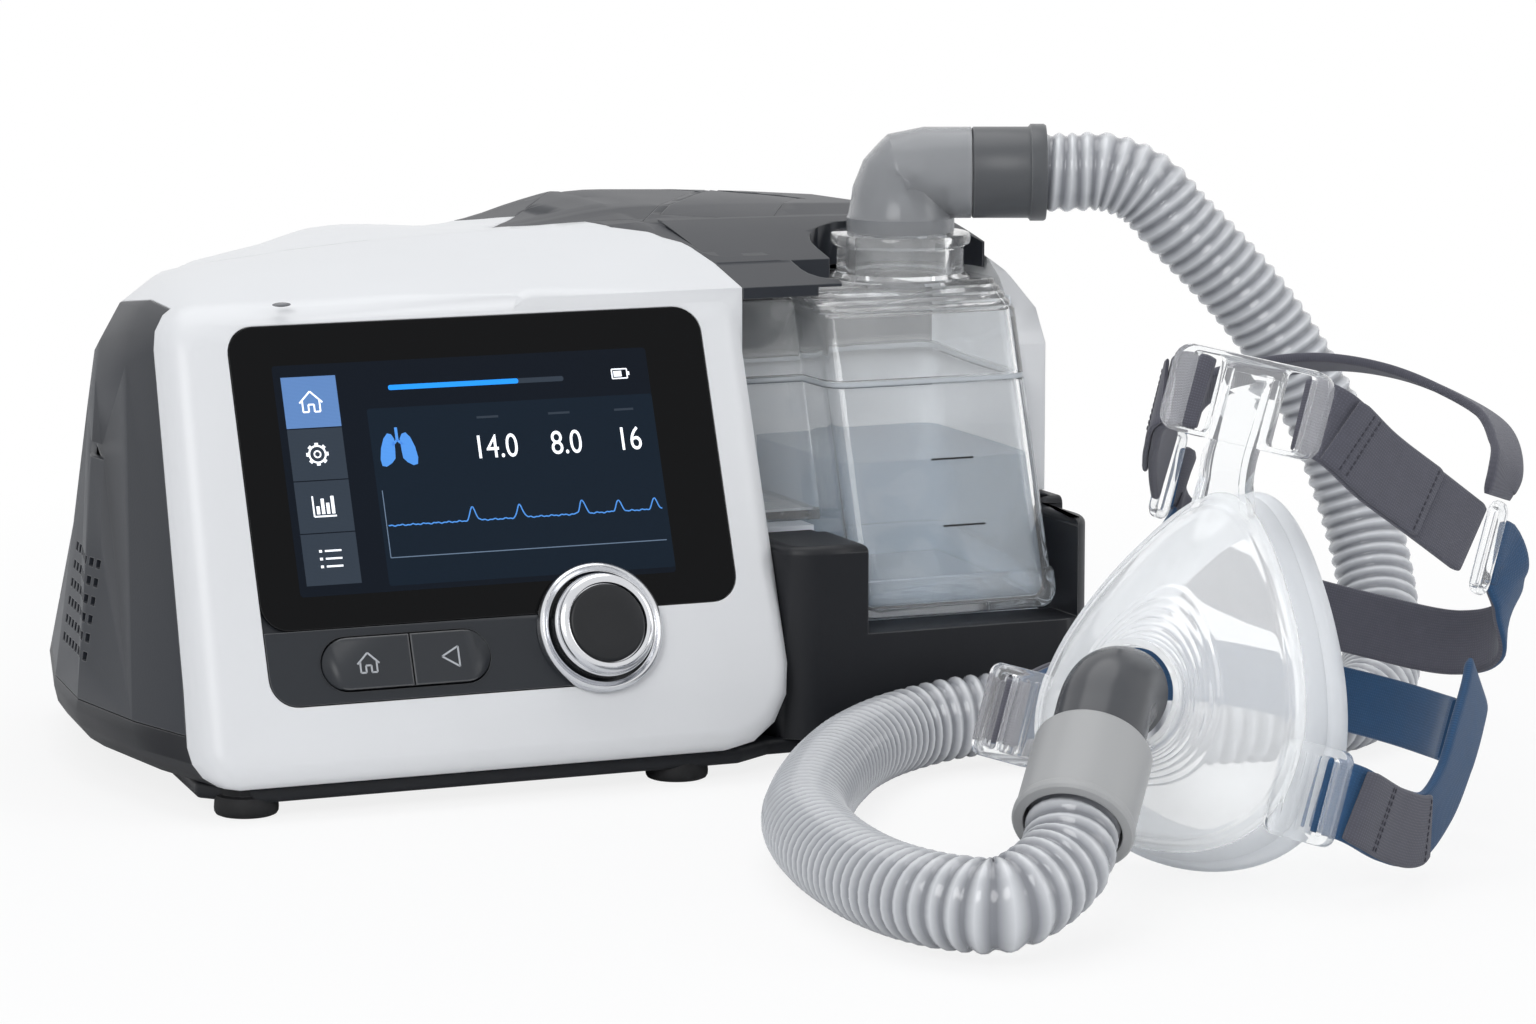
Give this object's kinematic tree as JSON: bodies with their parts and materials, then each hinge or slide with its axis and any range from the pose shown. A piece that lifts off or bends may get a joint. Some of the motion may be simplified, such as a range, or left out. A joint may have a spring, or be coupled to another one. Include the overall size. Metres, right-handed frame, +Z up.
{
  "type": "positive airway pressure machine",
  "caption": "Bedside airway machine with a sloping screen front, press-and-turn knob, slide-out humidifier tank, swept elbow, ribbed hose, full mask and headgear.",
  "frame": {"origin": "on the floor, under the middle of everything but the hose and its two sleeves", "axes": "+Z up; the machine's front with its controls faces -Y; +X to the right of a person who faces the front"},
  "size_m": [0.3778, 0.4175, 0.1708],
  "materials": {
    "board": "matt",
    "chrome": "polished",
    "clear_plastic": "clear",
    "collar_grey": "satin",
    "cuff_grey": "satin",
    "dark_base": "matt",
    "dark_housing": "matt",
    "filter_foam": "open foam",
    "hose_clear": "satin",
    "inner_plastic": "matt",
    "panel_grey": "satin",
    "rubber": "matt",
    "screen_glass": "polished",
    "silicone": "satin clear",
    "smoke_plastic": "clear smoky",
    "steel": "brushed",
    "strap_blue": "woven",
    "strap_grey": "woven",
    "white_shell": "satin"
  },
  "bodies": {
    "housing": {"control_panel": "panel_grey", "screen_glass": "screen_glass", "display_module": "inner_plastic", "knob_ring": "chrome", "encoder_body": "inner_plastic", "main_board": "board", "front_shell": "white_shell", "left_side_cover": "dark_housing", "top_cover": "dark_housing", "service_cover": "dark_housing", "right_shell": "white_shell", "rear_panel": "dark_housing", "filter_cover": "dark_housing", "inlet_filter": "filter_foam", "power_inlet": "rubber", "base_tray": "dark_base", "foot_1": "rubber", "foot_2": "rubber", "foot_3": "rubber", "foot_4": "rubber", "foot_5": "rubber", "bay_liner": "dark_base", "heater_plate": "steel", "blower_housing": "inner_plastic", "blower_motor": "steel", "air_duct": "inner_plastic", "hose": "hose_clear", "mask_cushion": "silicone", "mask_frame": "clear_plastic", "forehead_support": "clear_plastic", "upper_strap_right": "strap_grey", "upper_strap_left": "strap_grey", "crown_strap": "strap_grey", "headgear_back": "strap_grey", "lower_strap_right": "strap_blue", "lower_strap_left": "strap_blue", "strap_loop_right": "collar_grey", "strap_loop_left": "collar_grey", "mask_elbow": "cuff_grey", "hose_collar": "collar_grey"},
    "knob_plunger": {"encoder_shaft": "steel"},
    "knob": {"knob_body": "chrome", "knob_cap": "rubber"},
    "home_key": {"home_button": "panel_grey"},
    "back_key": {"back_button": "panel_grey"},
    "tank": {"tank_tub": "clear_plastic", "tank_floor_plate": "steel", "lid_seal": "rubber", "tank_lid": "clear_plastic", "outlet_elbow": "smoke_plastic", "outlet_cuff": "cuff_grey"},
    "card_flap": {"card_flap": "dark_housing"},
    "blower_rotor": {"impeller": "white_shell"}
  },
  "joints": [
    {"name": "knob_press", "type": "slide", "parent": "housing", "child": "knob_plunger", "axis": [0, 0.9346, -0.3556], "range_m": [0, 0.001], "stiffness_N_per_m": 900, "springref_m": -0.0015},
    {"name": "knob_turn", "type": "hinge", "parent": "knob_plunger", "child": "knob", "pos_m": [-0.03471, 0.01645, 0.04314], "axis": [0, -0.9346, 0.3556], "continuous": true},
    {"name": "home_press", "type": "slide", "parent": "housing", "child": "home_key", "axis": [0, 0.9346, -0.3556], "range_m": [0, 0.0008], "stiffness_N_per_m": 800, "springref_m": -0.001},
    {"name": "back_press", "type": "slide", "parent": "housing", "child": "back_key", "axis": [0, 0.9346, -0.3556], "range_m": [0, 0.0008], "stiffness_N_per_m": 800, "springref_m": -0.001},
    {"name": "tank_slide", "type": "slide", "parent": "housing", "child": "tank", "axis": [0, -1, 0], "range_m": [0, 0.06], "deforming": ["hose"]},
    {"name": "flap_hinge", "type": "hinge", "parent": "housing", "child": "card_flap", "pos_m": [0.07249, 0.16158, 0.144], "axis": [-0.6154, 0.7873, 0.0377], "range_deg": [0, 90]},
    {"name": "impeller_spin", "type": "hinge", "parent": "housing", "child": "blower_rotor", "pos_m": [-0.08151, 0.12108, 0.042], "axis": [0, 0, 1], "continuous": true}
  ]
}
